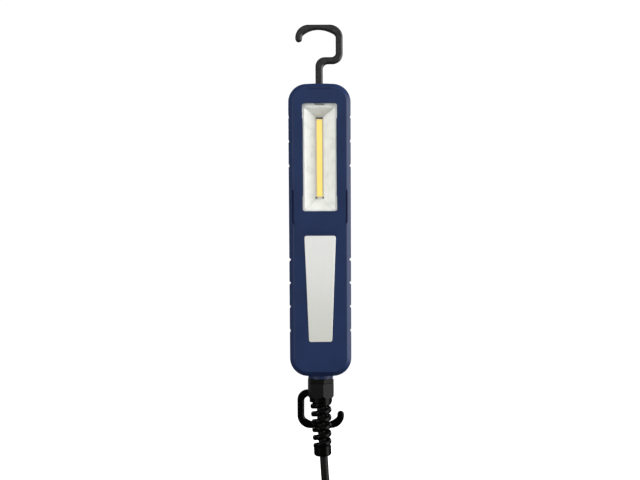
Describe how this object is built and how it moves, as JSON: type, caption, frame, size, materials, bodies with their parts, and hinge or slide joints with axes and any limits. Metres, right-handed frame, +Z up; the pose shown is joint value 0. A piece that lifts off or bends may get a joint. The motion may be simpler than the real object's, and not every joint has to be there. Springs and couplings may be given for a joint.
{
  "type": "work light",
  "caption": "Corded LED hand lamp in a slim blue housing with a long window, a swivel hook at each end, a spiral cord relief and a coiled mains lead with plug.",
  "frame": {"origin": "the point inside the top hook's upper bend that rests on the bar it hangs from", "axes": "+Z up along the lamp, -Y the way the light leaves, +X right seen from the front"},
  "size_m": [0.1405, 0.1733, 0.4601],
  "materials": {
    "housing_blue": "navy blue moulded nylon, fine matt texture",
    "seal_rubber": "matt",
    "label_silver": "pearl silver satin",
    "clear_window": "clear polycarbonate, glossy",
    "reflector_white": "white semi-gloss",
    "board_white": "white solder mask",
    "phosphor": "yellow silicone over the chips, matt",
    "sink_aluminium": "extruded, satin",
    "screw_steel": "zinc plated",
    "board_green": "green solder mask",
    "terminal_green": "moulded",
    "ferrite": "dark ferrite with taped winding",
    "capacitor_sleeve": "shrink sleeve",
    "film_yellow": "yellow film capacitor case",
    "chip_black": "epoxy",
    "fuse_glass": "ceramic fuse",
    "wire_red": "insulated wire",
    "wire_brown": "insulated wire",
    "hook_black": "black glass-filled nylon",
    "bush_grey": "acetal",
    "gland_black": "black nylon",
    "button_black": "soft black",
    "spring_steel": "spring wire",
    "cord_rubber": "black neoprene rubber",
    "tie_fabric": "hook-and-loop tape",
    "plug_black": "moulded rubber",
    "pin_nickel": "nickel plated brass"
  },
  "bodies": {
    "housing": {"front_shell": "housing_blue", "rear_shell": "housing_blue", "shell_seal": "seal_rubber", "label_plate": "label_silver", "window_lens": "clear_window", "reflector": "reflector_white", "led_board": "board_white", "led_phosphor": "phosphor", "heat_sink": "sink_aluminium", "heat_sink_screws": "screw_steel", "housing_screws": "screw_steel", "driver_board": "board_green", "board_screws": "screw_steel", "mains_terminal": "terminal_green", "led_terminal": "terminal_green", "driver_transformer": "ferrite", "bulk_capacitor": "capacitor_sleeve", "filter_capacitor": "film_yellow", "bridge_rectifier": "chip_black", "driver_fuse": "fuse_glass", "led_leads": "wire_red", "switch_leads": "wire_brown", "mains_leads": "wire_brown", "switch_collar": "hook_black", "switch_body": "chip_black", "switch_spring": "spring_steel", "top_bush": "bush_grey", "top_washer": "spring_steel", "lower_bush": "bush_grey", "lower_washer": "spring_steel", "gland_body": "gland_black", "gland_gasket": "seal_rubber", "gland_locknut": "gland_black", "gland_insert": "seal_rubber", "gland_nut": "gland_black", "spiral_relief": "gland_black", "cord_inner": "cord_rubber", "power_cord": "cord_rubber", "cord_coil": "cord_rubber", "coil_ties": "tie_fabric", "plug_lead": "cord_rubber", "plug_body": "plug_black", "plug_pins": "pin_nickel"},
    "upper_hanger": {"top_hook": "hook_black", "top_clip": "spring_steel"},
    "lower_hanger": {"lower_hook": "hook_black", "lower_clip": "spring_steel"},
    "button": {"switch_button": "button_black"}
  },
  "joints": [
    {"name": "top_hook_swivel", "type": "hinge", "parent": "housing", "child": "upper_hanger", "pos_m": [0, 0, -0.0529], "axis": [0, 0, 1], "continuous": true},
    {"name": "lower_hook_swivel", "type": "hinge", "parent": "housing", "child": "lower_hanger", "pos_m": [0, 0.0162, -0.2912], "axis": [0, 0, 1], "range_deg": [-30, 15]},
    {"name": "switch_press", "type": "slide", "parent": "housing", "child": "button", "axis": [0, -1, 0], "range_m": [0, 0.0015], "stiffness_N_per_m": 300, "deforming": ["switch_spring"]}
  ]
}
